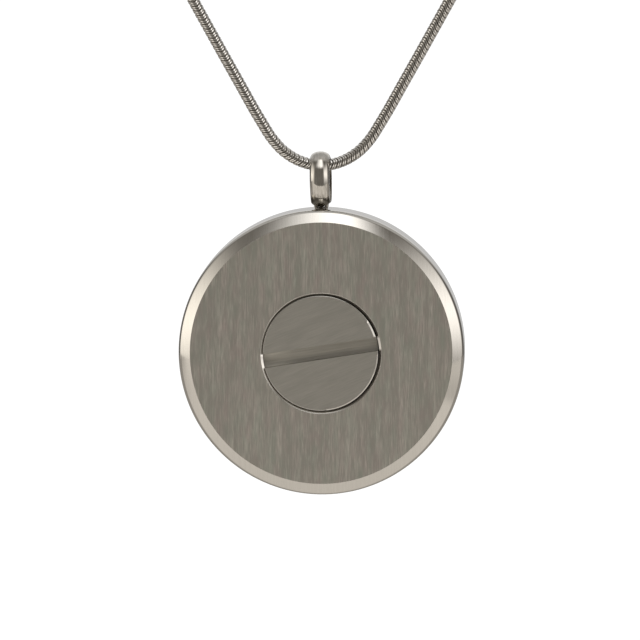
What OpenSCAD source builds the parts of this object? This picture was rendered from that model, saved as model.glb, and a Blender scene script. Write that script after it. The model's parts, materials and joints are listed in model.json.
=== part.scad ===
// Round keepsake locket: a bevelled steel case closed by a coin-slot screw plug,
// hanging by an oval bail from a round snake chain that goes round the neck.
// Millimetres. +Z is up, the front faces -Y, and the origin is at the nape of the neck.

/* [Case] */
// Outside diameter of the round case
case_d = 30.4; // [28:0.1:34]
// Thickness of the case, front face to back face
case_t = 6.6; // [6:0.1:8]
// Distance of the case's axis to the right of the chain's middle
case_shift = 0.1; // [0:0.01:0.1]
// Width of the polished bevel round each face
bevel_w = 1.27; // [0.8:0.01:1.6]
// Depth of the bevel, from the face to the side wall
bevel_h = 0.72; // [0.4:0.02:0.9]
// Radius of the rounded edge between bevel and side wall
edge_r = 0.7; // [0.1:0.05:0.8]
// Thickness of the wall behind the chamber
back_wall = 0.9; // [0.6:0.1:1.4]
// Diameter of the chamber behind the plug
chamber_d = 10.6; // [8:0.2:11]

/* [Screw plug] */
// Diameter of the plug
plug_d = 12.24; // [12:0.02:12.6]
// Thickness of the plug
plug_t = 2.35; // [2:0.05:2.6]
// Radial gap between plug and bore
plug_gap = 0.07; // [0.05:0.01:0.25]
// Width of the chamfer on the plug's front edge
plug_chamfer = 0.06; // [0.04:0.01:0.2]
// Width of the chamfer round the mouth of the bore
mouth_chamfer = 0.24; // [0.1:0.01:0.4]
// Pitch of the thread grooves
thread_pitch = 0.5; // [0.4:0.05:0.6]
// Width of the coin slot
slot_w = 1.5; // [1.2:0.1:1.8]
// Depth of the coin slot in the middle
slot_depth = 1; // [0.8:0.1:1.2]
// Radius of the hollow floor of the slot
slot_floor_r = 3; // [1:0.1:6]
// Turn of the slot, in degrees, right end up
slot_turn = 9; // [-90:0.5:90]
// Height of the slot's middle above the plug's middle
slot_rise = 0.08; // [0:0.01:0.2]

/* [Bail and loop] */
// Width of the bail, across its half-round wire
bail_w = 2.1; // [1.6:0.1:2.4]
// Height of the bail, top to bottom outside
bail_h = 5.75; // [5:0.05:7]
// Depth of the bail, front to back outside
bail_depth = 4.2; // [3.8:0.1:4.6]
// Thickness of the bail's wire
bail_t = 0.7; // [0.6:0.05:0.8]
// Rise of the inner face of the bail's wire
bail_crown = 0.08; // [0.06:0.01:0.2]
// Width of the bail's wire at the bottom, where it passes through the loop
foot_w = 0.45; // [0.4:0.01:0.5]
// Thickness of the bail's wire at the bottom
foot_t = 0.45; // [0.4:0.01:0.5]
// Turn of the bail about the vertical, in degrees
bail_turn = -3; // [-6:0.5:6]
// Lean of the bail to the left, in degrees
bail_lean = 1.2; // [0:0.1:1.4]
// Thickness of the soldered loop's wire
loop_wire = 0.38; // [0.3:0.01:0.5]
// Diameter of the hole in the soldered loop
loop_hole = 0.85; // [0.8:0.05:1]
// Diameter of the spot of solder under the loop
solder_d = 1.6; // [1.2:0.1:1.7]
// Height of the solder above the rim
solder_h = 0.1; // [0.05:0.01:0.12]

/* [Chain and clasp] */
// Diameter of the chain
chain_d = 1.2; // [0.9:0.05:1.3]
// Length of the clasp
clasp_l = 9; // [8:0.5:12]
// Diameter of the clasp
clasp_d = 2.6; // [2.4:0.1:3]

/* [Hidden] */

$fn = 96;
bail_gap = 0.2;
loop_gap = 0.1;
clasp_gap = 0.1;
seat_gap = 0.05;
solder_sink = 0.5;
overshoot = 1;

// Half of the chain's centre line, from its lowest point to its end in the clasp, as [x, y, z]
chain_half = [
    [0, -96, -152],
    [2, -96, -151.63],
    [4, -96, -150.47],
    [5.2, -96, -149.18],
    [6.4, -96, -147.3],
    [8.9, -96, -142.9],
    [16, -96, -130.1],
    [27, -95.5, -110],
    [37.5, -93.5, -91],
    [48, -88.5, -72],
    [57, -79, -55],
    [62.5, -66, -41],
    [64, -51, -30],
    [61, -36, -21],
    [54, -22.5, -13.5],
    [43.5, -11, -7.5],
    [30, -3, -2.8],
    [17, 0.6, -0.6],
    [7.5, 1.3, 0],
    [2.1, 1.3, 0]
];
span_count = len(chain_half) - 1;
chain_low = chain_half[0];
chain_end = chain_half[span_count];
chain_sides = 8;
steps_per_span = 2;

// Case and plug, measured along the case's own axis with the front at +case_t / 2
case_r = case_d / 2;
front = case_t / 2;
bevel_angle = atan2(bevel_h, bevel_w);
edge_run = edge_r * tan((90 - bevel_angle) / 2);
plug_r = plug_d / 2;
bore_r = plug_r + plug_gap;
mouth_r = bore_r + mouth_chamfer;
plug_back = front - plug_t;
seat = plug_back - seat_gap;
chamber_floor = back_wall - front;
groove_h = thread_pitch * 0.4;
groove_depth = 0.25;
first_groove = 0.7;
groove_count = floor((plug_t - first_groove - groove_h) / thread_pitch) + 1;
lead_in = 0.15;
slot_sag = slot_floor_r - sqrt(pow(slot_floor_r, 2) - pow(slot_w / 2, 2));

// Heights along the hanging line, measured from the centre of the chain at its lowest point
bail_top = chain_d / 2 + bail_gap + bail_t;
bail_bottom = bail_top - bail_h;
bail_centre = (bail_top + bail_bottom) / 2;
foot_centre = bail_bottom + foot_t / 2;
loop_centre = bail_bottom + foot_t + loop_gap - loop_hole / 2;
case_centre = loop_centre - loop_hole / 2 - case_r;

// Oval that the bail's wire follows, and the angles from the bottom between which the wire widens
bail_outer = bail_t - bail_crown;
oval_depth = bail_depth / 2 - bail_outer;
oval_up = bail_top - bail_outer - bail_centre;
oval_down = bail_centre - bail_bottom - foot_t / 2;
foot_flat = 10;
foot_span = 24;
bail_rings = 60;
bail_sides = 16;

clasp_bore_r = chain_d / 2 + clasp_gap;
clasp_bore_end = chain_end.x - clasp_gap;
clasp_round = 0.5;
seam_w = 0.2;

steel = [0.66, 0.64, 0.6];
brushed_steel = [0.5, 0.48, 0.44];

// Smooth curve through a list of points, with its direction at each point
function unit(v) = v / norm(v);
function direction_at(points, i) =
    let (back = points[i] - points[i - 1], ahead = points[i + 1] - points[i])
    unit(norm(ahead) / norm(back) * back + norm(back) / norm(ahead) * ahead);
function point_between(a, b, dir_a, dir_b, s) =
    let (reach = norm(b - a))
    (2 * pow(s, 3) - 3 * pow(s, 2) + 1) * a + (pow(s, 3) - 2 * pow(s, 2) + s) * reach * dir_a
    + (3 * pow(s, 2) - 2 * pow(s, 3)) * b + (pow(s, 3) - pow(s, 2)) * reach * dir_b;

// The chain runs level under the bail and level into the clasp
chain_dirs = [
    for (i = [0:span_count])
        i == 0 ? [1, 0, 0] : i == span_count ? [-1, 0, 0] : direction_at(chain_half, i)
];
half_line = [
    for (i = [0:span_count - 1], k = [0:steps_per_span - 1])
        point_between(chain_half[i], chain_half[i + 1], chain_dirs[i], chain_dirs[i + 1], k / steps_per_span),
    chain_end
];
other_half = [for (i = [len(half_line) - 1:-1:1]) [-half_line[i].x, half_line[i].y, half_line[i].z]];
chain_line = concat(other_half, half_line);

// Direction of the centre line at a ring, from its neighbours
function ring_dir(i) =
    unit(chain_line[min(i + 1, len(chain_line) - 1)] - chain_line[max(i - 1, 0)]);
function chain_ring(i) =
    let (along = ring_dir(i), side = unit(cross([0, 1, 0], along)), up = cross(along, side))
    [for (k = [0:chain_sides - 1])
        chain_line[i] + chain_d / 2 * (cos(360 * k / chain_sides) * side + sin(360 * k / chain_sides) * up)];

// Ring of the bail's wire at angle t, from 0 at the bottom forward to 180 at the top
function foot_share(t) =
    let (s = min(1, max(0, (foot_span - min(t, 360 - t)) / (foot_span - foot_flat))))
    s * s * (3 - 2 * s);
function mix(a, b, share) = a + (b - a) * share;
function bail_ring(t) =
    let (
        share = foot_share(t),
        half_w = mix(bail_w, foot_w, share) / 2,
        outer = mix(bail_outer, foot_t / 2, share),
        inner = mix(bail_crown, foot_t / 2, share),
        height = cos(t) > 0 ? oval_down : oval_up,
        out = unit([0, -sin(t) / oval_depth, -cos(t) / height])
    )
    [for (k = [0:bail_sides - 1])
        let (a = 360 * k / bail_sides)
        [half_w * cos(a), -oval_depth * sin(t), -height * cos(t)]
        + (sin(a) > 0 ? outer : inner) * sin(a) * out];

// Triangles of the wall between ring i and ring j, each with the given number of sides
function wall(i, j, sides) = [
    for (k = [0:sides - 1])
        let (n = (k + 1) % sides)
        each [
            [i * sides + k, i * sides + n, j * sides + n],
            [i * sides + k, j * sides + n, j * sides + k]
        ]
];

module on_chain(height) {
    translate(chain_low + [0, 0, height]) children();
}

module on_case() {
    on_chain(case_centre) translate([case_shift, 0, 0]) children();
}

module face_front() {
    rotate([90, 0, 0]) children();
}

// Half of the case's cross-section without its bore: x is the radius, y is forward
module case_outline() {
    corner = front - bevel_h;
    cut_r = case_r - edge_run * cos(bevel_angle);
    cut_y = corner + edge_run * sin(bevel_angle);
    polygon([
        [0, -front],
        [case_r - bevel_w, -front],
        [cut_r, -cut_y],
        [case_r, edge_run - corner],
        [case_r, corner - edge_run],
        [cut_r, cut_y],
        [case_r - bevel_w, front],
        [0, front]
    ]);
    for (y = [corner - edge_run, edge_run - corner])
        translate([case_r - edge_r, y]) circle(r = edge_r);
}

// Points of the thread grooves down a wall of radius r, cut in the given direction
function grooves(r, outward) = [
    for (i = [0:groove_count - 1])
        let (y = front - first_groove - i * thread_pitch)
        each [[r, y + groove_h / 2], [r + outward * groove_depth, y], [r, y - groove_h / 2]]
];

module bore_outline() {
    polygon(concat(
        [[0, front + overshoot], [mouth_r + overshoot, front + overshoot], [bore_r, front - mouth_chamfer]],
        grooves(bore_r, 1),
        [[bore_r, seat], [chamber_d / 2, seat], [chamber_d / 2, chamber_floor], [0, chamber_floor]]
    ));
}

module plug_outline() {
    polygon(concat(
        [[0, front], [plug_r - plug_chamfer, front], [plug_r, front - plug_chamfer]],
        grooves(plug_r, -1),
        [[plug_r, plug_back + lead_in], [plug_r - lead_in, plug_back], [0, plug_back]]
    ));
}

module slot_outline() {
    translate([-slot_w / 2, slot_sag - slot_depth]) square([slot_w, slot_depth - slot_sag + overshoot]);
    intersection() {
        translate([0, slot_floor_r - slot_depth]) circle(r = slot_floor_r);
        translate([-slot_w / 2, -slot_depth]) square([slot_w, slot_depth]);
    }
}

module solder_loop() {
    rotate_extrude() translate([(loop_hole + loop_wire) / 2, 0]) circle(d = loop_wire, $fn = 48);
}

// Round spot, sunk in the rim, whose top lies solder_h above it
module solder_spot() {
    translate([0, 0, case_r - solder_sink]) cylinder(d = solder_d, h = solder_sink + solder_h, $fn = 48);
}

module locket_case() {
    color(brushed_steel) {
        on_case() face_front() rotate_extrude() {
            difference() {
                case_outline();
                bore_outline();
            }
        }
        on_chain(loop_centre) face_front() solder_loop();
        on_chain(case_centre) solder_spot();
    }
}

module screw_plug() {
    color(brushed_steel) on_case() face_front() difference() {
        rotate_extrude() plug_outline();
        translate([0, slot_rise, front]) rotate([0, 0, slot_turn]) rotate([90, 0, 90])
            linear_extrude(height = plug_d + overshoot, center = true) slot_outline();
    }
}

module bail() {
    rings = [for (i = [0:bail_rings - 1]) bail_ring(360 * i / bail_rings)];
    color(steel) on_chain(foot_centre) rotate([0, -bail_lean, 0])
        translate([0, 0, bail_centre - foot_centre]) rotate([0, 0, bail_turn]) polyhedron(
            points = [for (ring = rings) each ring],
            faces = [for (i = [0:bail_rings - 1]) each wall(i, (i + 1) % bail_rings, bail_sides)],
            convexity = 6
        );
}

module chain() {
    last = len(chain_line) - 1;
    color(steel) polyhedron(
        points = [for (i = [0:last]) each chain_ring(i)],
        faces = concat(
            [for (i = [0:last - 1]) each wall(i, i + 1, chain_sides)],
            [[for (k = [chain_sides - 1:-1:0]) k]],
            [[for (k = [0:chain_sides - 1]) last * chain_sides + k]]
        ),
        convexity = 10
    );
}

// Half of the clasp's cross-section: x is the radius, y runs along the clasp
module clasp_outline() {
    half = clasp_l / 2;
    r = clasp_d / 2;
    difference() {
        union() {
            translate([0, -half]) square([r - clasp_round, clasp_l]);
            translate([0, clasp_round - half]) square([r, clasp_l - 2 * clasp_round]);
            for (y = [-1, 1])
                translate([r - clasp_round, y * (half - clasp_round)]) circle(r = clasp_round);
        }
        for (y = [clasp_bore_end, -half - overshoot])
            translate([0, y]) square([clasp_bore_r, half + overshoot - clasp_bore_end]);
        polygon([
            [r - seam_w / 2, 0],
            [r + overshoot, seam_w / 2 + overshoot],
            [r + overshoot, -seam_w / 2 - overshoot]
        ]);
    }
}

module clasp() {
    color(steel) translate([0, chain_end.y, chain_end.z]) rotate([0, 90, 0])
        rotate_extrude() clasp_outline();
}

locket_case();
screw_plug();
bail();
chain();
clasp();
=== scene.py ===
"""Round screw-plug keepsake locket on a snake chain, worn: finishes, chain links, light and camera.

Everything is in metres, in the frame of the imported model: +Z is up, the front faces -Y, and the
origin is at the nape of the neck. Places come from the model's own boxes and joint anchors.
"""

import json
import math

import bmesh
import bpy
from mathutils import Matrix, Vector


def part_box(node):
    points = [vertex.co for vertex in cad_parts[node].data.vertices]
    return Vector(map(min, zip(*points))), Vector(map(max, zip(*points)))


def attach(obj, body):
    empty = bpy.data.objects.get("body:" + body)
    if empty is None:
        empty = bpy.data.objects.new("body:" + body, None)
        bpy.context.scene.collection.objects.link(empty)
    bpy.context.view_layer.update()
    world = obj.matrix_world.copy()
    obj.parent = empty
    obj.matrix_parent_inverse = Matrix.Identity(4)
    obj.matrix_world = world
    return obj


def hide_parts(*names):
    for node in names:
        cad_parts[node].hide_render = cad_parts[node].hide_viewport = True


UP = Vector((0, 0, 1))

# Cutters reach past what they cut by OVERSHOOT, and places closer than TINY count as one
OVERSHOOT = 0.001
TINY = 0.000001

# The photograph: its frame, where the case's centre lies in it, and where it was taken from
PHOTO_PX = 640
PHOTO_WIDTH = 0.0682
CASE_PX = (322.2, 350.3)
CAMERA_AZIMUTH = 2.3
CAMERA_ELEVATION = 5.6
CAMERA_DISTANCE = 0.6
CAMERA_CLIP = (0.05, 20)
SENSOR_MM = 36

# Case
BEVEL_W = 0.00127
BEVEL_H = 0.00072
EDGE_R = 0.0007
EDGE_STEPS = 8
CORNER_STEPS = 6
BACK_WALL = 0.0009
CHAMBER_R = 0.0053
CASE_SEGMENTS = 288
MOUTH_CHAMFER = 0.00024
MOUTH_EDGE_R = 0.00005
MOUTH_FACET = 0.62

# Loop on top of the case, with the mound of solder that holds it
LOOP_WIRE = 0.00038
LOOP_HOLE = 0.00085
LOOP_SEGMENTS = 64
WIRE_SIDES = 24
SOLDER_R = 0.0008
SOLDER_DEPTH = 0.00055
SOLDER_H = 0.00024
SOLDER_SINK = 0.0005
SOLDER_RINGS = 12
SOLDER_SIDES = 48

# Screw plug
PLUG_GAP = 0.00007
PLUG_CHAMFER = 0.00006
SEAT_GAP = 0.00005
THREAD_PITCH = 0.0005
GROOVE_H = 0.0002
GROOVE_DEPTH = 0.00025
FIRST_GROOVE = 0.0007
LEAD_IN = 0.00015
SLOT_W = 0.0015
SLOT_DEPTH = 0.001
SLOT_FLOOR_R = 0.003
SLOT_TURN = 9
SLOT_RISE = 0.00008
SLOT_FLOOR_STEPS = 20

# Plug's seat in the photograph: a hair off-centre and crooked, its right side forward, in metres and degrees
PLUG_SHIFT = (-0.00004, 0, 0.000015)
PLUG_TILT = -0.5

# Worn stretches of the plug's edge: where each begins and ends, in degrees, and how much it widens the edge
WORN_STRETCHES = ((17, 34, 3), (-85, -1, 1.8))

# Places of the finishes among the materials of the case and of the plug
BRUSHED, POLISHED, MACHINED = 0, 1, 2
SOLDERED = 3
MILLED = 3

# Bail
BAIL_W = 0.0021
BAIL_H = 0.00575
BAIL_DEPTH = 0.0042
BAIL_T = 0.0007
BAIL_CROWN = 0.00008
FOOT_W = 0.00045
FOOT_T = 0.00045
FOOT_FLAT = 10
FOOT_SPAN = 24
BAIL_TURN = -3
BAIL_LEAN = 1.2
BAIL_RINGS = 160
BAIL_SIDES = 40

# Half of the chain's centre line, from its lowest point to its end in the clasp
CHAIN_HALF = [
    (0, -0.096, -0.152),
    (0.002, -0.096, -0.15163),
    (0.004, -0.096, -0.15047),
    (0.0052, -0.096, -0.14918),
    (0.0064, -0.096, -0.1473),
    (0.0089, -0.096, -0.1429),
    (0.016, -0.096, -0.1301),
    (0.027, -0.0955, -0.11),
    (0.0375, -0.0935, -0.091),
    (0.048, -0.0885, -0.072),
    (0.057, -0.079, -0.055),
    (0.0625, -0.066, -0.041),
    (0.064, -0.051, -0.03),
    (0.061, -0.036, -0.021),
    (0.054, -0.0225, -0.0135),
    (0.0435, -0.011, -0.0075),
    (0.03, -0.003, -0.0028),
    (0.017, 0.0006, -0.0006),
    (0.0075, 0.0013, 0),
    (0.0021, 0.0013, 0),
]
CHAIN_R = 0.0006
SPAN_STEPS = 40
LINK_PITCH = 0.00055
LINK_SEGMENTS = 14

# Link's section as (rise, place along the chain): its top with the groove, then the crevice to the next link
LINK_TOP = 0.00002
LINK_CREVICE = -0.00016
LINK_SECTION = [
    (LINK_TOP, -0.00018),
    (LINK_TOP, -0.00005),
    (LINK_TOP, 0),
    (LINK_TOP, 0.00005),
    (LINK_TOP, 0.00018),
    (LINK_CREVICE, LINK_PITCH / 2),
    (LINK_CREVICE, -LINK_PITCH / 2),
]
LINK_TOP_SIDES = 4
LINK_WAVE = 0.00025
LINK_TURN = 113
LINK_SHARP_ANGLE = 30

# The groove runs part of the way round, on the slanted stretches of the link's wave
LINK_GROOVE_POINT = 2
LINK_GROOVE = 0.00012
LINK_GROOVE_LAG = 22
LINK_GROOVE_SPREAD = 2

# The chain is twisted a little in front, in degrees per metre, out to this far on either side
LINK_TWIST = 1143
LINK_TWIST_REACH = 0.02

# Edges sharper than this, in degrees, stay sharp, and faces this square to the front stay flat
SHARP_ANGLE = 20
FLAT_LIMIT = 0.9999

# Brushing directions, in degrees from the horizontal, and the share of the broad lines in a brushing
CASE_BRUSHING = 90
PLUG_BRUSHING = 22
LEVEL_BRUSHING = 0
BROAD_SHARE = 0.35

# Noise that draws the brushing: how rough it is, and the range that most of it lies in
NOISE_ROUGHNESS = 0.6
NOISE_MIDDLE = 0.5
NOISE_RANGE = (0.3, 0.7)

# Case's brushing: its drift and the size of the drift's swirls, and its pinker patches
CASE_WANDER = (0.0001, 0.005)
PATCH_SIZE = (0.0008, 0.0025)
PATCH_HUE = (0.08, -0.03, 0.01)

# Slot's painted shade: shades from its lower to its upper edge, and where the painted light at its left end
# begins and is full
SLOT_PAINTED_SHADE = ((0, 0.6), (0.04, 0.56), (0.12, 0.66), (0.25, 0.76), (0.45, 0.88), (0.7, 0.77), (0.9, 0.64))
SLOT_PAINTED_LIGHT_SPAN = (-0.0022, -0.0054)
SLOT_PAINTED_LIGHT_LEVEL = 0.88

# Bail's painted shade, a dark reflection at its foot: heights over the foot's middle where it begins and is
# full, its edge, blotches and colour
FOOT_SHADE_HEIGHTS = (0.0012, 0.0002)
FOOT_SHADE_RAGGED = 0.0024
FOOT_SHADE_BLOTCH = (0.00022, 0.0006)
FOOT_SHADE_COLOUR = (0.24, 0.225, 0.198, 1)

# Windows: azimuths and elevations where each begins, is full, is still full and ends; light and colour
LEFT_WINDOW = ((-38, -60, -80, -98), (-30, 8, 2, 46), 1.63, (1, 0.95, 0.87))
RIGHT_WINDOW = ((22, 38, 68, 88), (-20, 16, 2, 49), 1.9, (1, 0.97, 0.94))
TOP_WINDOW = ((-47, 9, 13, 39), (28, 42, 63, 77), 1.9, (1, 0.99, 0.98))

# Ceiling: backward lean of its middle in degrees; cosines where its light begins and is full, and the light
CEILING_LEAN = 27
CEILING = (0.49, 0.72, 0.4)

# Room behind the windows, by how far backward one looks: dim in front, dark at the sides and pale behind
ROOM_SHADES = (
    (0, (0.22, 0.207, 0.187)),
    (0.15, (0.16, 0.154, 0.145)),
    (0.5, (0.16, 0.154, 0.145)),
    (0.85, (0.6, 0.595, 0.59)),
)
WHITE = (1, 1, 1, 1)
BACKDROP = 1.1

# Studio's floor, and its glow as (place, share) pairs between which the glow changes
FLOOR_Z = -0.36
FLOOR_HALF_X = 1.5
FLOOR_FRONT = -0.6
FLOOR_BACK = 0.6
FLOOR_COLOUR = (0.6, 0.575, 0.54, 1)
FLOOR_ROUGHNESS = 0.8
FLOOR_LIGHT = (1, 0.95, 0.88, 1)
FLOOR_GLOW = 0.418
FLOOR_GLOW_REACH = ((0.1, 1), (0.33, 1.17))
FLOOR_GLOW_LEFT = ((-0.45, 1), (-0.9, 1.2))
FLOOR_SHADE_RIGHT = ((0.33, 1), (0.4, 0.55))
FLOOR_GLOW_RIGHT = ((0.42, 1), (0.7, 1.45))
FLOOR_SHADE_BACK = ((0, 1), (0.12, 0))
FLOOR_SHADE_SPREAD = 0.5

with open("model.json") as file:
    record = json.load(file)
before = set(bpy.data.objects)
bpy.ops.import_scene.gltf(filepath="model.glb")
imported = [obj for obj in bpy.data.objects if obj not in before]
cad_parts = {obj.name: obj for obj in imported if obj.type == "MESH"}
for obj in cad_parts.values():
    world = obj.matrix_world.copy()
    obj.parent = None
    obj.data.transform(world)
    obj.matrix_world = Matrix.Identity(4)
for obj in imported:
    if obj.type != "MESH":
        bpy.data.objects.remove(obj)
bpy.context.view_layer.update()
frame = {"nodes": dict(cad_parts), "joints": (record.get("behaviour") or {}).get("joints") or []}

case_low, case_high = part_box("locket_case")
plug_low, plug_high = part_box("screw_plug")
FRONT = (case_high.y - case_low.y) / 2
CASE_R = (case_high.x - case_low.x) / 2
PLUG_R = (plug_high.z - plug_low.z) / 2
PLUG_BACK = FRONT - (plug_high.y - plug_low.y)
BORE_R = PLUG_R + PLUG_GAP
MOUTH_R = BORE_R + MOUTH_CHAMFER
case_centre = Vector((
    (plug_low.x + plug_high.x) / 2,
    (case_low.y + case_high.y) / 2,
    (plug_low.z + plug_high.z) / 2,
))
foot_centre = Vector(next(joint for joint in frame["joints"] if joint["name"] == "case_swing")["pos_m"])
loop_centre = Vector((foot_centre.x, foot_centre.y, case_high.z - LOOP_WIRE - LOOP_HOLE / 2))


def direction(azimuth, elevation):
    """Unit vector towards an azimuth, 0 in front and 90 to the right, and an elevation, in degrees"""
    a = math.radians(azimuth)
    e = math.radians(elevation)
    return Vector((math.sin(a) * math.cos(e), -math.cos(a) * math.cos(e), math.sin(e)))


def add_object(name, data):
    obj = bpy.data.objects.new(name, data)
    bpy.context.scene.collection.objects.link(obj)
    return obj


def facing(back, at):
    """Placement at a point with the local Z axis along back and the local Y axis as upright as can be"""
    right = UP.cross(back).normalized()
    axes = Matrix((right, back.cross(right), back)).transposed()
    return Matrix.Translation(at) @ axes.to_4x4()


def photo_camera():
    """Long lens on the photograph's line of sight, with the case's centre at the photograph's pixel"""
    back = direction(CAMERA_AZIMUTH, CAMERA_ELEVATION)
    right = UP.cross(back).normalized()
    metres_per_px = PHOTO_WIDTH / PHOTO_PX
    across = (CASE_PX[0] - PHOTO_PX / 2) * metres_per_px
    down = (CASE_PX[1] - PHOTO_PX / 2) * metres_per_px
    aim = case_centre - across * right + down * back.cross(right)
    data = bpy.data.cameras.new("photo_camera")
    data.sensor_width = SENSOR_MM
    data.lens = SENSOR_MM * CAMERA_DISTANCE / PHOTO_WIDTH
    data.clip_start, data.clip_end = CAMERA_CLIP
    camera = add_object("photo_camera", data)
    camera.matrix_world = facing(back, aim + CAMERA_DISTANCE * back)
    bpy.context.scene.camera = camera


# Shader nodes

def feed(tree, socket, value):
    """Links a socket to the value, or sets it where the value is a plain one"""
    if isinstance(value, bpy.types.NodeSocket):
        tree.links.new(value, socket)
    else:
        socket.default_value = value


def calculate(tree, operation, *values):
    """Math node on numbers or sockets"""
    node = tree.nodes.new("ShaderNodeMath")
    node.operation = operation
    for socket, value in zip(node.inputs, values):
        feed(tree, socket, value)
    return node.outputs["Value"]


def scaled(tree, vector, factor):
    """Vector or colour times a factor"""
    node = tree.nodes.new("ShaderNodeVectorMath")
    node.operation = "SCALE"
    feed(tree, node.inputs[0], vector)
    feed(tree, node.inputs["Scale"], factor)
    return node.outputs["Vector"]


def added(tree, first, second):
    """Sum of two vectors or colours"""
    node = tree.nodes.new("ShaderNodeVectorMath")
    node.operation = "ADD"
    feed(tree, node.inputs[0], first)
    feed(tree, node.inputs[1], second)
    return node.outputs["Vector"]


def parts_of(tree, vector):
    """X, Y and Z of a vector"""
    axes = tree.nodes.new("ShaderNodeSeparateXYZ")
    tree.links.new(vector, axes.inputs[0])
    return axes.outputs


def object_place(tree):
    """Place in the object's own frame, in metres"""
    return tree.nodes.new("ShaderNodeTexCoord").outputs["Object"]


def own_axes(tree, place, centre=(0, 0, 0), turn=0.0, size=(1, 1, 1)):
    """Place from a centre, along axes turned about Y by an angle in degrees, in units of the sizes"""
    mapping = tree.nodes.new("ShaderNodeMapping")
    mapping.vector_type = "TEXTURE"
    mapping.inputs["Location"].default_value = centre
    mapping.inputs["Rotation"].default_value = (0, math.radians(turn), 0)
    mapping.inputs["Scale"].default_value = size
    tree.links.new(place, mapping.inputs["Vector"])
    return mapping.outputs["Vector"]


def shades_along(tree, value, shades):
    """Colour that follows the value through pairs of a position and a colour"""
    ramp = tree.nodes.new("ShaderNodeValToRGB")
    stops = ramp.color_ramp.elements
    for stop, (position, _) in zip(stops, (shades[0], shades[-1])):
        stop.position = position
    for position, _ in shades[1:-1]:
        stops.new(position)
    for stop, (_, colour) in zip(stops, shades):
        stop.color = (*colour, 1)
    tree.links.new(value, ramp.inputs["Fac"])
    return ramp.outputs["Color"]


def soft_step(tree, value, start, full, low=0.0, high=1.0):
    """Smooth change from low at start to high at full"""
    node = tree.nodes.new("ShaderNodeMapRange")
    node.interpolation_type = "SMOOTHSTEP"
    node.inputs["From Min"].default_value = start
    node.inputs["From Max"].default_value = full
    node.inputs["To Min"].default_value = low
    node.inputs["To Max"].default_value = high
    tree.links.new(value, node.inputs["Value"])
    return node.outputs["Result"]


# Studio

def soft_window(tree, azimuth, elevation, window):
    """Light of one window, fading out at its four sides"""
    across, upright, radiance, colour = window
    strength = radiance
    for angle, (begin, full, still_full, over) in ((azimuth, across), (elevation, upright)):
        strength = calculate(tree, "MULTIPLY", soft_step(tree, angle, begin, full), strength)
        strength = calculate(tree, "MULTIPLY", soft_step(tree, angle, over, still_full), strength)
    return scaled(tree, colour, strength)


def ceiling_light(tree, backward, up):
    """Soft light overhead and behind, by the cosine to a direction that leans back from the zenith"""
    lean = math.radians(CEILING_LEAN)
    start, full, radiance = CEILING
    back_part = calculate(tree, "MULTIPLY", backward, math.sin(lean))
    up_part = calculate(tree, "MULTIPLY", up, math.cos(lean))
    return soft_step(tree, calculate(tree, "ADD", back_part, up_part), start, full, 0, radiance)


def room_light(tree):
    """Light on the steel: the room's own shades, the windows and the ceiling"""
    looked_at = tree.nodes.new("ShaderNodeTexCoord").outputs["Generated"]
    right, backward, up = parts_of(tree, looked_at)
    forward = calculate(tree, "MULTIPLY", backward, -1)
    azimuth = calculate(tree, "DEGREES", calculate(tree, "ARCTAN2", right, forward))
    elevation = calculate(tree, "DEGREES", calculate(tree, "ARCSINE", up))
    light = shades_along(tree, backward, ROOM_SHADES)
    for window in (LEFT_WINDOW, RIGHT_WINDOW, TOP_WINDOW):
        light = added(tree, light, soft_window(tree, azimuth, elevation, window))
    return added(tree, light, ceiling_light(tree, backward, up))


def studio_world():
    """White as the camera sees it; soft windows in a dim room as the steel sees it"""
    world = bpy.data.worlds.new("studio")
    bpy.context.scene.world = world
    world.use_nodes = True
    tree = world.node_tree
    room = tree.nodes["Background"]
    tree.links.new(room_light(tree), room.inputs["Color"])
    white = tree.nodes.new("ShaderNodeBackground")
    white.inputs["Color"].default_value = WHITE
    white.inputs["Strength"].default_value = BACKDROP
    seen = tree.nodes.new("ShaderNodeLightPath")
    choice = tree.nodes.new("ShaderNodeMixShader")
    tree.links.new(seen.outputs["Is Camera Ray"], choice.inputs["Fac"])
    tree.links.new(room.outputs[0], choice.inputs[1])
    tree.links.new(white.outputs[0], choice.inputs[2])
    tree.links.new(choice.outputs[0], tree.nodes["World Output"].inputs["Surface"])


def floor_glow(tree):
    """Strength of the floor's glow: brighter further out, in shade behind and in a band on the right"""
    place = object_place(tree)
    reach = tree.nodes.new("ShaderNodeVectorMath")
    reach.operation = "LENGTH"
    tree.links.new(place, reach.inputs[0])
    right, backward, _ = parts_of(tree, place)
    aside = calculate(tree, "MULTIPLY", calculate(tree, "ABSOLUTE", right), FLOOR_SHADE_SPREAD)
    glow = FLOOR_GLOW
    for value, ((start, low), (full, high)) in (
        (reach.outputs["Value"], FLOOR_GLOW_REACH),
        (right, FLOOR_GLOW_LEFT),
        (right, FLOOR_SHADE_RIGHT),
        (right, FLOOR_GLOW_RIGHT),
        (calculate(tree, "ADD", backward, aside), FLOOR_SHADE_BACK),
    ):
        glow = calculate(tree, "MULTIPLY", soft_step(tree, value, start, full, low, high), glow)
    return glow


def pale_floor():
    """Matt floor material with its glow"""
    material = bpy.data.materials.new("pale_floor")
    material.use_nodes = True
    tree = material.node_tree
    shader = principled(tree)
    shader.inputs["Base Color"].default_value = FLOOR_COLOUR
    shader.inputs["Roughness"].default_value = FLOOR_ROUGHNESS
    shader.inputs["Emission Color"].default_value = FLOOR_LIGHT
    tree.links.new(floor_glow(tree), shader.inputs["Emission Strength"])
    return material


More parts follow.
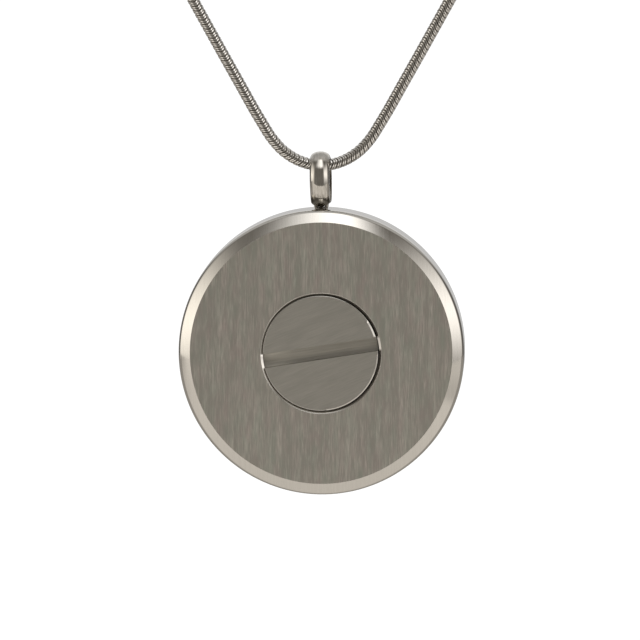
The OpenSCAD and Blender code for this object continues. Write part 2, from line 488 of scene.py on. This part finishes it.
def floor():
    """Pale floor below the hanging locket"""
    bm = bmesh.new()
    corners = [
        (-FLOOR_HALF_X, FLOOR_FRONT),
        (FLOOR_HALF_X, FLOOR_FRONT),
        (FLOOR_HALF_X, FLOOR_BACK),
        (-FLOOR_HALF_X, FLOOR_BACK),
    ]
    bm.faces.new([bm.verts.new((x, y, 0)) for x, y in corners])
    mesh = bpy.data.meshes.new("floor")
    bm.to_mesh(mesh)
    bm.free()
    mesh.materials.append(pale_floor())
    obj = add_object("floor", mesh)
    obj.location = (case_centre.x, case_centre.y, FLOOR_Z)


# Materials

def principled(tree):
    return tree.nodes["Principled BSDF"]


def base_colour(tree):
    """Socket that the base colour comes from"""
    return principled(tree).inputs["Base Color"].links[0].from_socket


def set_base_colour(tree, colour):
    tree.links.new(colour, principled(tree).inputs["Base Color"])


def steel(name, colour, roughness, anisotropy=0.0, turn=0.0):
    """Metal; anisotropy spreads its highlights across the brushing, whose turn is a share of a circle"""
    material = bpy.data.materials.new(name)
    material.use_nodes = True
    shader = principled(material.node_tree)
    shader.inputs["Base Color"].default_value = (*colour, 1)
    shader.inputs["Metallic"].default_value = 1
    shader.inputs["Roughness"].default_value = roughness
    shader.inputs["Anisotropic"].default_value = anisotropy
    shader.inputs["Anisotropic Rotation"].default_value = turn
    return material


def wandered(tree, place, drift, size):
    """Place that drifts off in swirls of the given size"""
    noise = tree.nodes.new("ShaderNodeTexNoise")
    noise.inputs["Scale"].default_value = 1 / size
    noise.inputs["Detail"].default_value = 1
    tree.links.new(place, noise.inputs["Vector"])
    push = tree.nodes.new("ShaderNodeVectorMath")
    push.operation = "MULTIPLY_ADD"
    push.inputs[1].default_value = (drift, drift, drift)
    tree.links.new(noise.outputs["Color"], push.inputs[0])
    tree.links.new(place, push.inputs[2])
    return push.outputs["Vector"]


def scratch_noise(tree, brushing, size, detail=3, wander=None):
    """Noise drawn out along the brushing: size is its width and length, wander its drift and swirl size"""
    place = object_place(tree)
    if wander:
        place = wandered(tree, place, *wander)
    width, length = size
    noise = tree.nodes.new("ShaderNodeTexNoise")
    noise.inputs["Scale"].default_value = 1
    noise.inputs["Detail"].default_value = detail
    noise.inputs["Roughness"].default_value = NOISE_ROUGHNESS
    drawn_out = own_axes(tree, place, turn=90 - brushing, size=(width, length, length))
    tree.links.new(drawn_out, noise.inputs["Vector"])
    return noise.outputs["Fac"]


def brushing_lines(tree, brushing, fine, broad, wander=None):
    """Fine brushing lines laid over broad ones"""
    fine_lines = scratch_noise(tree, brushing, fine, detail=4, wander=wander)
    broad_lines = scratch_noise(tree, brushing, broad, detail=2)
    fine_part = calculate(tree, "MULTIPLY", fine_lines, 1 - BROAD_SHARE)
    return calculate(tree, "ADD", fine_part, calculate(tree, "MULTIPLY", broad_lines, BROAD_SHARE))


def tint_by(tree, value, dark, light, value_range=NOISE_RANGE):
    """Base colour from dark to light as the value goes through its range"""
    low, high = value_range
    set_base_colour(tree, shades_along(tree, value, ((low, dark), (high, light))))


def roughen_by(tree, value, low, high):
    """Roughness from low to high with the value"""
    spread = tree.nodes.new("ShaderNodeMapRange")
    spread.inputs["From Min"].default_value = NOISE_RANGE[0]
    spread.inputs["From Max"].default_value = NOISE_RANGE[1]
    spread.inputs["To Min"].default_value = low
    spread.inputs["To Max"].default_value = high
    tree.links.new(value, spread.inputs["Value"])
    tree.links.new(spread.outputs["Result"], principled(tree).inputs["Roughness"])


def bump_by(tree, value, height):
    """Relief of the given height in metres"""
    bump = tree.nodes.new("ShaderNodeBump")
    bump.inputs["Strength"].default_value = 1
    bump.inputs["Distance"].default_value = height
    tree.links.new(value, bump.inputs["Height"])
    tree.links.new(bump.outputs["Normal"], principled(tree).inputs["Normal"])


def tangent_across(tree):
    """Sideways tangent on the front and back faces, so that vertical brushing spreads light sideways"""
    tangent = tree.nodes.new("ShaderNodeTangent")
    tangent.direction_type = "RADIAL"
    tangent.axis = "Z"
    tree.links.new(tangent.outputs["Tangent"], principled(tree).inputs["Tangent"])


def lined_steel(
    name, colour, roughness, lines, tints, brushing=CASE_BRUSHING, detail=3, roughnesses=None, relief=None
):
    """Steel with one noise, of a width and length, behind its tints, its roughnesses and its relief"""
    material = steel(name, colour, roughness)
    tree = material.node_tree
    value = scratch_noise(tree, brushing, lines, detail)
    tint_by(tree, value, *tints)
    if roughnesses:
        roughen_by(tree, value, *roughnesses)
    if relief:
        bump_by(tree, value, relief)
    return material


def turn_patches_pink(tree):
    """Shifts the base colour towards pink in some patches, and away from it in others"""
    patches = scratch_noise(tree, CASE_BRUSHING, PATCH_SIZE, detail=1)
    shift = scaled(tree, PATCH_HUE, calculate(tree, "SUBTRACT", patches, NOISE_MIDDLE))
    set_base_colour(tree, added(tree, base_colour(tree), shift))


def brushed_face():
    """Case's faces: upright brushing, fine and broad, that wanders a little and turns pinker in places"""
    material = steel("brushed_face", colour=(0.56, 0.54, 0.487), roughness=0.36, anisotropy=0.7)
    tree = material.node_tree
    fine = (0.00012, 0.0016)
    broad = (0.00045, 0.006)
    lines = brushing_lines(tree, CASE_BRUSHING, fine, broad, wander=CASE_WANDER)
    tint_by(tree, lines, dark=(0.515, 0.4965, 0.449), light=(0.71, 0.684, 0.619), value_range=(0.45, 0.68))
    turn_patches_pink(tree)
    roughen_by(tree, lines, low=0.33, high=0.4)
    bump_by(tree, lines, height=0.000004)
    tangent_across(tree)
    return material


def brushed_plug():
    """Plug's face: finer brushing, slanted"""
    turn = (90 - PLUG_BRUSHING) / 360
    material = steel("brushed_plug", colour=(0.46, 0.446, 0.408), roughness=0.36, anisotropy=0.6, turn=turn)
    tree = material.node_tree
    lines = brushing_lines(tree, PLUG_BRUSHING, fine=(0.00008, 0.002), broad=(0.0009, 0.004))
    tint_by(tree, lines, dark=(0.415, 0.402, 0.367), light=(0.507, 0.492, 0.45), value_range=(0.35, 0.65))
    bump_by(tree, lines, height=0.000002)
    tangent_across(tree)
    return material


def polished_steel():
    """Bevels, side wall and the edges round mouth and plug: near mirror with faint polishing lines"""
    return lined_steel(
        "polished_steel",
        colour=(0.58, 0.56, 0.525),
        roughness=0.08,
        lines=(0.0001, 0.002),
        tints=((0.56, 0.54, 0.505), (0.6, 0.58, 0.545)),
        roughnesses=(0.06, 0.12),
        relief=0.0000006,
    )


def machined_steel_painted_shade():
    """Bore, chamber and thread: turned rings, darkened as painted shade for the gap round the plug"""
    return lined_steel(
        "machined_steel_painted_shade",
        # Dark colour: painted shade of the gap and bore
        colour=(0.3, 0.288, 0.27),
        roughness=0.28,
        lines=(0.004, 0.00008),
        tints=((0.26, 0.25, 0.234), (0.34, 0.326, 0.306)),
        brushing=LEVEL_BRUSHING,
        relief=0.000002,
    )


def slot_painted_light_and_shade(tree):
    """Painted shade by the place in the slot, darker towards its long edges, giving way to painted light
    towards its left end
    """
    middle, _, _ = slot_axes()
    along, _, across = parts_of(tree, own_axes(tree, object_place(tree), centre=middle, turn=-SLOT_TURN))
    shades = [(position, (shade, shade, shade)) for position, shade in SLOT_PAINTED_SHADE]
    painted_shade = shades_along(tree, soft_step(tree, across, -SLOT_W / 2, SLOT_W / 2), shades)
    lit_end = tree.nodes.new("ShaderNodeMix")
    lit_end.data_type = "FLOAT"
    tree.links.new(soft_step(tree, along, *SLOT_PAINTED_LIGHT_SPAN), lit_end.inputs["Factor"])
    tree.links.new(painted_shade, lit_end.inputs["A"])
    lit_end.inputs["B"].default_value = SLOT_PAINTED_LIGHT_LEVEL
    return lit_end.outputs["Result"]


def milled_slot():
    """Coin slot: fine lines along it, with painted shade towards its long edges and painted light at its left
    end
    """
    material = lined_steel(
        "milled_slot",
        colour=(0.525, 0.503, 0.45),
        roughness=0.5,
        lines=(0.00012, 0.005),
        tints=((0.45, 0.43, 0.382), (0.6, 0.576, 0.518)),
        brushing=SLOT_TURN,
        relief=0.000002,
    )
    tree = material.node_tree
    # Painted shade across the slot and painted light at its left end, multiplied into the base colour
    set_base_colour(tree, scaled(tree, base_colour(tree), slot_painted_light_and_shade(tree)))
    return material


def solder_steel():
    """Loop and the solder under it: duller and mottled"""
    return lined_steel(
        "solder_steel",
        colour=(0.42, 0.4, 0.37),
        roughness=0.24,
        lines=(0.00018, 0.00024),
        tints=((0.2, 0.19, 0.175), (0.58, 0.56, 0.53)),
        detail=2,
        roughnesses=(0.15, 0.35),
        relief=0.00003,
    )


def inside_painted_shade():
    """Inner face of the bail: unpolished, with its shade painted in as a dark colour"""
    return lined_steel(
        "inside_painted_shade",
        colour=(0.16, 0.148, 0.125),
        roughness=0.35,
        lines=(0.00015, 0.0006),
        tints=((0.11, 0.1, 0.083), (0.22, 0.204, 0.174)),
        detail=2,
    )


def foot_painted_shade(tree):
    """Share of the painted shade, a dark reflection that grows towards the bail's foot along a ragged edge"""
    _, _, height = parts_of(tree, object_place(tree))
    blotches = scratch_noise(tree, CASE_BRUSHING, FOOT_SHADE_BLOTCH, detail=2)
    ragged = calculate(tree, "ADD", height, calculate(tree, "MULTIPLY", blotches, FOOT_SHADE_RAGGED))
    edge = foot_centre.z + FOOT_SHADE_RAGGED * NOISE_MIDDLE
    begins, full = FOOT_SHADE_HEIGHTS
    return soft_step(tree, ragged, edge + begins, edge + full)


def mirror_bail():
    """Bail: mirror polish with soft handling marks, and painted shade in blotches towards its foot"""
    material = lined_steel(
        "mirror_bail",
        colour=(0.58, 0.557, 0.52),
        roughness=0.07,
        lines=(0.00018, 0.0011),
        tints=((0.43, 0.408, 0.372), (0.63, 0.607, 0.566)),
        detail=2,
        roughnesses=(0.05, 0.1),
        relief=0.000001,
    )
    tree = material.node_tree
    # Painted shade at the foot: the dark reflection there, mixed in as a colour
    painted_shade = tree.nodes.new("ShaderNodeMix")
    painted_shade.data_type = "RGBA"
    tree.links.new(foot_painted_shade(tree), painted_shade.inputs["Factor"])
    tree.links.new(base_colour(tree), painted_shade.inputs["A"])
    painted_shade.inputs["B"].default_value = FOOT_SHADE_COLOUR
    set_base_colour(tree, painted_shade.outputs["Result"])
    return material


def chain_tops_painted_light():
    """Tops of the chain's links: polished, a little worn, and painted lighter than the other steel"""
    return lined_steel(
        "chain_tops_painted_light",
        colour=(0.82, 0.8, 0.77),
        roughness=0.16,
        lines=(0.0004, 0.0004),
        tints=((0.77, 0.75, 0.72), (0.87, 0.85, 0.82)),
        detail=2,
        roughnesses=(0.12, 0.22),
    )


def crevice_painted_shade():
    """Grooves of the links and the crevices between them: dull, and painted dark as their shade"""
    return lined_steel(
        "crevice_painted_shade",
        colour=(0.46, 0.44, 0.41),
        roughness=0.4,
        lines=(0.0004, 0.0004),
        tints=((0.4, 0.382, 0.356), (0.52, 0.498, 0.464)),
        detail=2,
    )


def clasp_steel():
    """Clasp: polished, with fine level lines"""
    return lined_steel(
        "clasp_steel",
        colour=(0.6, 0.58, 0.55),
        roughness=0.12,
        lines=(0.00012, 0.003),
        tints=((0.56, 0.54, 0.51), (0.62, 0.6, 0.57)),
        brushing=LEVEL_BRUSHING,
        roughnesses=(0.08, 0.16),
        relief=0.000001,
    )


# Shapes

def shaded_object(name, bm, materials, sharp_angle=None):
    """Object from a bmesh, smooth up to the sharp angle in degrees"""
    bmesh.ops.recalc_face_normals(bm, faces=bm.faces)
    mesh = bpy.data.meshes.new(name)
    bm.to_mesh(mesh)
    bm.free()
    for material in materials:
        mesh.materials.append(material)
    mesh.shade_smooth()
    if sharp_angle is not None:
        mesh.set_sharp_from_angle(angle=math.radians(sharp_angle))
    return add_object(name, mesh)


def wall_between(bm, ring, following, finish=0):
    """Faces between two rings of vertices; a ring of one vertex is a point on the axis"""
    count = max(len(ring), len(following))
    for k in range(count):
        n = (k + 1) % count
        near = [ring[k % len(ring)], ring[n % len(ring)]]
        far = [following[n % len(following)], following[k % len(following)]]
        face = bm.faces.new(list(dict.fromkeys(near + far)))
        face.material_index = finish


def on_case(radius, angle, depth):
    """Point at a radius and an angle round the case's axis, and a depth forward of its mid-plane"""
    return case_centre + Vector((radius * math.cos(angle), -depth, radius * math.sin(angle)))


def lathe(name, profile, materials):
    """Turns rows of (radius, depth, finish) round the case's axis; a row's finish holds up to the next row"""
    bm = bmesh.new()
    rings = []
    for radius, depth, _ in profile:
        count = CASE_SEGMENTS if radius > 0 else 1
        angles = [math.tau * k / CASE_SEGMENTS for k in range(count)]
        rings.append([bm.verts.new(on_case(radius, angle, depth)) for angle in angles])
    for ring, following, row in zip(rings, rings[1:], profile):
        wall_between(bm, ring, following, row[2])
    return shaded_object(name, bm, materials)


def edge_arc():
    """Rounded edge from the side wall to the front bevel, as (radius, depth)"""
    turn = math.pi / 2 - math.atan2(BEVEL_H, BEVEL_W)
    centre_depth = FRONT - BEVEL_H - EDGE_R * math.tan(turn / 2)
    angles = [turn * i / EDGE_STEPS for i in range(EDGE_STEPS + 1)]
    return [(CASE_R - EDGE_R + EDGE_R * math.cos(a), centre_depth + EDGE_R * math.sin(a)) for a in angles]


def rounded_corner(corner, before, after, radius, finish):
    """Rows of a rounded corner; before and after are the unit directions of its sides, away from it"""
    corner, before, after = Vector(corner), Vector(before), Vector(after)
    half = before.angle(after) / 2
    centre = corner + (before + after).normalized() * radius / math.sin(half)
    start = (corner + before * radius / math.tan(half) - centre).normalized()
    end = (corner + after * radius / math.tan(half) - centre).normalized()
    points = [centre + radius * start.slerp(end, i / CORNER_STEPS) for i in range(CORNER_STEPS + 1)]
    return [(point.x, point.y, finish) for point in points]


def thread_grooves(radius, outward, finish):
    """Rows of the thread's grooves down a wall"""
    rows = []
    depth = FRONT - FIRST_GROOVE
    while depth - GROOVE_H > PLUG_BACK:
        rows.append((radius, depth + GROOVE_H / 2, finish))
        rows.append((radius + outward * GROOVE_DEPTH, depth, finish))
        rows.append((radius, depth - GROOVE_H / 2, finish))
        depth -= THREAD_PITCH
    return rows


def case_profile():
    """Rows from the middle of the back round the outside, then down the bore to the chamber's floor"""
    arc = edge_arc()
    flat_r = CASE_R - BEVEL_W
    seat = PLUG_BACK - SEAT_GAP
    chamber_floor = BACK_WALL - FRONT
    slope = math.sqrt(0.5)
    profile = [(0, -FRONT, BRUSHED), (flat_r, -FRONT, POLISHED)]
    profile += [(r, -depth, POLISHED) for r, depth in reversed(arc)]
    profile += [(r, depth, POLISHED) for r, depth in arc]
    profile.append((flat_r, FRONT, BRUSHED))
    profile += rounded_corner((MOUTH_R, FRONT), (1, 0), (-slope, -slope), MOUTH_EDGE_R, POLISHED)
    profile.append((BORE_R, FRONT - MOUTH_CHAMFER, MACHINED))
    profile += thread_grooves(BORE_R, 1, MACHINED)
    profile += [(BORE_R, seat, MACHINED), (CHAMBER_R, seat, MACHINED)]
    profile += [(CHAMBER_R, chamber_floor, MACHINED), (0, chamber_floor, MACHINED)]
    return profile


def locket_case():
    """Round case with bevelled edges, threaded bore, chamber and soldered loop"""
    materials = [brushed_face(), polished_steel(), machined_steel_painted_shade(), solder_steel()]
    case = lathe("locket_case_body", case_profile(), materials)
    flatten_mouth(case)
    combine(case, solder_mound(), "UNION")
    combine(case, solder_loop(), "UNION")
    case.data.set_sharp_from_angle(angle=math.radians(SHARP_ANGLE))
    weigh_normals(case)
    return case


def slot_axes():
    """Middle of the coin slot on the case's mid-plane, and the directions along and across it"""
    turn = math.radians(SLOT_TURN)
    along = Vector((math.cos(turn), 0, math.sin(turn)))
    across = Vector((-math.sin(turn), 0, math.cos(turn)))
    return case_centre + Vector((0, 0, SLOT_RISE)), along, across


def flatten_mouth(case):
    """Flatter facets on the mouth's chamfer, bright where the ends of the slot lay it open"""
    middle, _, across = slot_axes()
    for vertex in case.data.vertices:
        place = vertex.co - middle
        depth = FRONT + place.y
        in_front = depth < MOUTH_CHAMFER + TINY
        in_mouth = math.hypot(place.x, place.z) < MOUTH_R + SLOT_RISE
        at_slot = abs(across.dot(place)) < SLOT_W / 2
        if in_front and in_mouth and at_slot:
            vertex.co.y = middle.y - FRONT + MOUTH_FACET * depth


def solder_mound():
    """Mound of solder between the legs of the loop, sunk in the rim"""
    top = Vector((foot_centre.x, foot_centre.y, case_centre.z + CASE_R + SOLDER_H))
    bm = bmesh.new()
    rings = []
    for i in range(SOLDER_RINGS + 1):
        a = math.pi / 2 * i / SOLDER_RINGS
        half_w = SOLDER_R * math.sin(a)
        half_depth = SOLDER_DEPTH * math.sin(a)
        drop = (SOLDER_H + SOLDER_SINK) * (math.cos(a) - 1)
        turns = [math.tau * k / SOLDER_SIDES for k in range(SOLDER_SIDES if i else 1)]
        places = [Vector((half_w * math.cos(b), half_depth * math.sin(b), drop)) for b in turns]
        rings.append([bm.verts.new(top + place) for place in places])
    for ring, following in zip(rings, rings[1:]):
        wall_between(bm, ring, following, SOLDERED)
    bm.faces.new(rings[-1]).material_index = SOLDERED
    return shaded_object("solder_mound", bm, [])


def solder_loop():
    """Small ring soldered on the rim, with its hole from front to back"""
    bm = bmesh.new()
    ring_r = (LOOP_HOLE + LOOP_WIRE) / 2
    rings = []
    for i in range(LOOP_SEGMENTS):
        a = math.tau * i / LOOP_SEGMENTS
        out = Vector((math.cos(a), 0, math.sin(a)))
        ring = []
        for k in range(WIRE_SIDES):
            b = math.tau * k / WIRE_SIDES
            reach = ring_r + LOOP_WIRE / 2 * math.cos(b)
            backward = Vector((0, LOOP_WIRE / 2 * math.sin(b), 0))
            ring.append(bm.verts.new(loop_centre + reach * out + backward))
        rings.append(ring)
    for i, ring in enumerate(rings):
        wall_between(bm, ring, rings[(i + 1) % LOOP_SEGMENTS], SOLDERED)
    return shaded_object("solder_loop", bm, [])


def combine(target, tool, operation):
    """Boolean of two closed meshes; the tool is used up"""
    modifier = target.modifiers.new("combine", "BOOLEAN")
    modifier.operation = operation
    modifier.solver = "EXACT"
    modifier.material_mode = "INDEX"
    modifier.object = tool
    result = bpy.data.meshes.new_from_object(target.evaluated_get(bpy.context.evaluated_depsgraph_get()))
    target.modifiers.clear()
    target.data = result
    bpy.data.objects.remove(tool)


def weigh_normals(obj):
    """Large flat faces keep their own normals beside small rounded ones"""
    for face in obj.data.polygons:
        face.use_smooth = abs(face.normal.y) < FLAT_LIMIT
    weighted = obj.modifiers.new("weighted_normals", "WEIGHTED_NORMAL")
    weighted.keep_sharp = True


def slot_section():
    """Section of the coin slot as (place across it, depth), from above the front round its hollowed floor"""
    half_w = SLOT_W / 2
    reach = math.asin(half_w / SLOT_FLOOR_R)
    centre = FRONT - SLOT_DEPTH + SLOT_FLOOR_R
    section = [(half_w, FRONT + OVERSHOOT), (-half_w, FRONT + OVERSHOOT)]
    for i in range(SLOT_FLOOR_STEPS + 1):
        a = reach * (2 * i / SLOT_FLOOR_STEPS - 1)
        section.append((SLOT_FLOOR_R * math.sin(a), centre - SLOT_FLOOR_R * math.cos(a)))
    return section


def slot_cutter():
    """Bar with a round underside, as long as the plug is wide, for the coin slot"""
    middle, along, across = slot_axes()
    bm = bmesh.new()
    ends = []
    for side in (-1, 1):
        end = middle + side * (PLUG_R + OVERSHOOT) * along
        places = [end + v * across + Vector((0, -depth, 0)) for v, depth in slot_section()]
        ends.append([bm.verts.new(place) for place in places])
    wall_between(bm, ends[0], ends[1], MILLED)
    for end in ends:
        bm.faces.new(end).material_index = MILLED
    return shaded_object("slot_cutter", bm, [])


def wear_edge(plug):
    """Flat bright facets on the worn stretches of the plug's front edge"""
    for vertex in plug.data.vertices:
        place = vertex.co - case_centre
        radius = math.hypot(place.x, place.z)
        inward = PLUG_R - radius
        if place.y + FRONT > PLUG_CHAMFER - TINY or inward > PLUG_CHAMFER + TINY:
            continue
        angle = math.degrees(math.atan2(place.z, place.x))
        for first, last, spread in WORN_STRETCHES:
            if first < angle < last:
                share = (PLUG_R - spread * inward) / radius
                backward = PLUG_CHAMFER - inward - FRONT
                vertex.co = case_centre + Vector((place.x * share, backward, place.z * share))


def plug_profile():
    """Rows from the middle of the face over its rounded edge and down the thread to the middle of the back"""
    profile = [(0, FRONT, BRUSHED)]
    for i in range(CORNER_STEPS):
        a = math.pi / 2 * i / CORNER_STEPS
        radius = PLUG_R - PLUG_CHAMFER * (1 - math.sin(a))
        profile.append((radius, FRONT - PLUG_CHAMFER * (1 - math.cos(a)), POLISHED))
    profile.append((PLUG_R, FRONT - PLUG_CHAMFER, MACHINED))
    profile += thread_grooves(PLUG_R, -1, MACHINED)
    profile += [(PLUG_R, PLUG_BACK + LEAD_IN, MACHINED), (PLUG_R - LEAD_IN, PLUG_BACK, MACHINED)]
    profile.append((0, PLUG_BACK, MACHINED))
    return profile


def screw_plug():
    """Threaded plug with a coin slot"""
    materials = [brushed_plug(), polished_steel(), machined_steel_painted_shade(), milled_slot()]
    plug = lathe("screw_plug_body", plug_profile(), materials)
    wear_edge(plug)
    combine(plug, slot_cutter(), "DIFFERENCE")
    tilt = Matrix.Rotation(math.radians(PLUG_TILT), 4, "Z")
    seat = Matrix.Translation(case_centre + Vector(PLUG_SHIFT)) @ tilt
    plug.data.transform(seat @ Matrix.Translation(-case_centre))
    plug.data.set_sharp_from_angle(angle=math.radians(SHARP_ANGLE))
    weigh_normals(plug)
    return plug


def mix(a, b, share):
    return a + (b - a) * share


def foot_share(t):
    """How far the bail's wire has taken on the form of its foot, at t degrees from the bottom"""
    s = min(1, max(0, (FOOT_SPAN - min(t, 360 - t)) / (FOOT_SPAN - FOOT_FLAT)))
    return s * s * (3 - 2 * s)


def bail_ring(t):
    """Points of the bail's wire at t degrees, from 0 at the bottom forward to 180 at the top"""
    share = foot_share(t)
    bail_outer = BAIL_T - BAIL_CROWN
    half_w = mix(BAIL_W, FOOT_W, share) / 2
    outer = mix(bail_outer, FOOT_T / 2, share)
    inner = mix(BAIL_CROWN, FOOT_T / 2, share)
    half_h = BAIL_H / 2
    depth = BAIL_DEPTH / 2 - bail_outer
    sin_t, cos_t = math.sin(math.radians(t)), math.cos(math.radians(t))
    height = half_h - FOOT_T / 2 if cos_t > 0 else half_h - bail_outer
    out = Vector((0, -sin_t / depth, -cos_t / height)).normalized()
    turn = Matrix.Rotation(math.radians(BAIL_TURN), 3, "Z")
    lean = Matrix.Rotation(math.radians(-BAIL_LEAN), 3, "Y")
    centre = Vector((0, 0, half_h - FOOT_T / 2))
    points = []
    for k in range(BAIL_SIDES):
        a = math.tau * k / BAIL_SIDES
        rise = (outer if math.sin(a) > 0 else inner) * math.sin(a)
        local = Vector((half_w * math.cos(a), -depth * sin_t, -height * cos_t)) + rise * out
        points.append(foot_centre + lean @ (centre + turn @ local))
    return points


def bail():
    """Oval half-round ring, drawn thin where it passes through the soldered loop"""
    polished, inside_shade = 0, 1
    bm = bmesh.new()
    rings = [[bm.verts.new(p) for p in bail_ring(360 * i / BAIL_RINGS)] for i in range(BAIL_RINGS)]
    for i, ring in enumerate(rings):
        following = rings[(i + 1) % BAIL_RINGS]
        for k in range(BAIL_SIDES):
            n = (k + 1) % BAIL_SIDES
            face = bm.faces.new((ring[k], ring[n], following[n], following[k]))
            # Inner faces take the dark colour that paints their shade
            face.material_index = inside_shade if k >= BAIL_SIDES / 2 else polished
    return shaded_object("bail_ring", bm, [mirror_bail(), inside_painted_shade()])


def direction_at(points, i):
    """Direction of the smooth curve at one of its points"""
    if i == 0:
        return Vector((1, 0, 0))
    if i == len(points) - 1:
        return Vector((-1, 0, 0))
    back = points[i] - points[i - 1]
    ahead = points[i + 1] - points[i]
    return (ahead.length / back.length * back + back.length / ahead.length * ahead).normalized()


def point_between(a, b, dir_a, dir_b, s):
    reach = (b - a).length
    return (
        (2 * s**3 - 3 * s**2 + 1) * a
        + (s**3 - 2 * s**2 + s) * reach * dir_a
        + (3 * s**2 - 2 * s**3) * b
        + (s**3 - s**2) * reach * dir_b
    )


def chain_line():
    """Fine points of the whole chain's centre line, from end to end"""
    points = [Vector(p) for p in CHAIN_HALF]
    dirs = [direction_at(points, i) for i in range(len(points))]
    half = []
    for i in range(len(points) - 1):
        for k in range(SPAN_STEPS):
            half.append(point_between(points[i], points[i + 1], dirs[i], dirs[i + 1], k / SPAN_STEPS))
    half.append(points[-1])
    other = [Vector((-p.x, p.y, p.z)) for p in reversed(half[1:])]
    return other + half


def link_places():
    """Centre and direction of each link, evenly spaced along the chain"""
    line = chain_line()
    lengths = [0.0]
    for a, b in zip(line, line[1:]):
        lengths.append(lengths[-1] + (b - a).length)
    count = round(lengths[-1] / LINK_PITCH)
    step = lengths[-1] / count
    places = []
    i = 0
    for n in range(count):
        target = (n + 0.5) * step
        while lengths[i + 1] < target:
            i += 1
        share = (target - lengths[i]) / (lengths[i + 1] - lengths[i])
        places.append((line[i].lerp(line[i + 1], share), (line[i + 1] - line[i]).normalized()))
    return places


def groove_depth(a):
    """Depth of a link's groove at an angle from the crest of its wave"""
    share = LINK_GROOVE_SPREAD * math.cos(2 * (a + math.radians(LINK_GROOVE_LAG)))
    return LINK_GROOVE * min(1, max(0, share))


def link_faces(bm, ring, following, grooved):
    """Faces between neighbouring rows of a link: painted light on top, painted shade in the groove and the
    crevice
    """
    polished, crevice = 0, 1
    for i in range(len(ring)):
        n = (i + 1) % len(ring)
        face = bm.faces.new((ring[i], ring[n], following[n], following[i]))
        beside_groove = grooved and LINK_GROOVE_POINT in (i, n)
        # Groove and crevice faces take the darker steel that paints their shade
        face.material_index = crevice if i >= LINK_TOP_SIDES or beside_groove else polished


def add_link(bm, centre, along):
    """One saddle-shaped ring: its wave makes the slanted scales of a round snake chain"""
    out = along.cross(UP).normalized()
    side = along.cross(out)
    twist = LINK_TWIST * max(-LINK_TWIST_REACH, min(LINK_TWIST_REACH, centre.x))
    turn = math.radians(LINK_TURN + twist)
    rings = []
    grooves = []
    for k in range(LINK_SEGMENTS):
        a = math.tau * k / LINK_SEGMENTS
        radial = math.cos(a) * side + math.sin(a) * out
        wave = LINK_WAVE * math.cos(2 * (a - turn))
        groove = groove_depth(a - turn)
        ring = []
        for i, (rise, z) in enumerate(LINK_SECTION):
            reach = CHAIN_R + (rise - groove if i == LINK_GROOVE_POINT else rise)
            ring.append(bm.verts.new(centre + reach * radial + (wave + z) * along))
        rings.append(ring)
        grooves.append(groove)
    for k, ring in enumerate(rings):
        n = (k + 1) % LINK_SEGMENTS
        link_faces(bm, ring, rings[n], grooves[k] > 0 or grooves[n] > 0)


def chain():
    """Round snake chain, link by link"""
    bm = bmesh.new()
    for centre, along in link_places():
        add_link(bm, centre, along)
    return shaded_object("snake_chain", bm, [chain_tops_painted_light(), crevice_painted_shade()], LINK_SHARP_ANGLE)


def place(piece, body, slot, node):
    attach(piece, body)
    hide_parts(node)


def clasp():
    """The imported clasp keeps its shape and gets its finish"""
    mesh = frame["nodes"]["clasp"].data
    mesh.materials.clear()
    mesh.materials.append(clasp_steel())


photo_camera()
bpy.context.scene.view_settings.view_transform = "Standard"
studio_world()
floor()

place(locket_case(), "case", "brushed_case", "locket_case")
place(screw_plug(), "plug", "brushed_plug", "screw_plug")
place(bail(), "bail", "polished_bail", "bail")
place(chain(), "necklace", "polished_chain", "chain")
clasp()
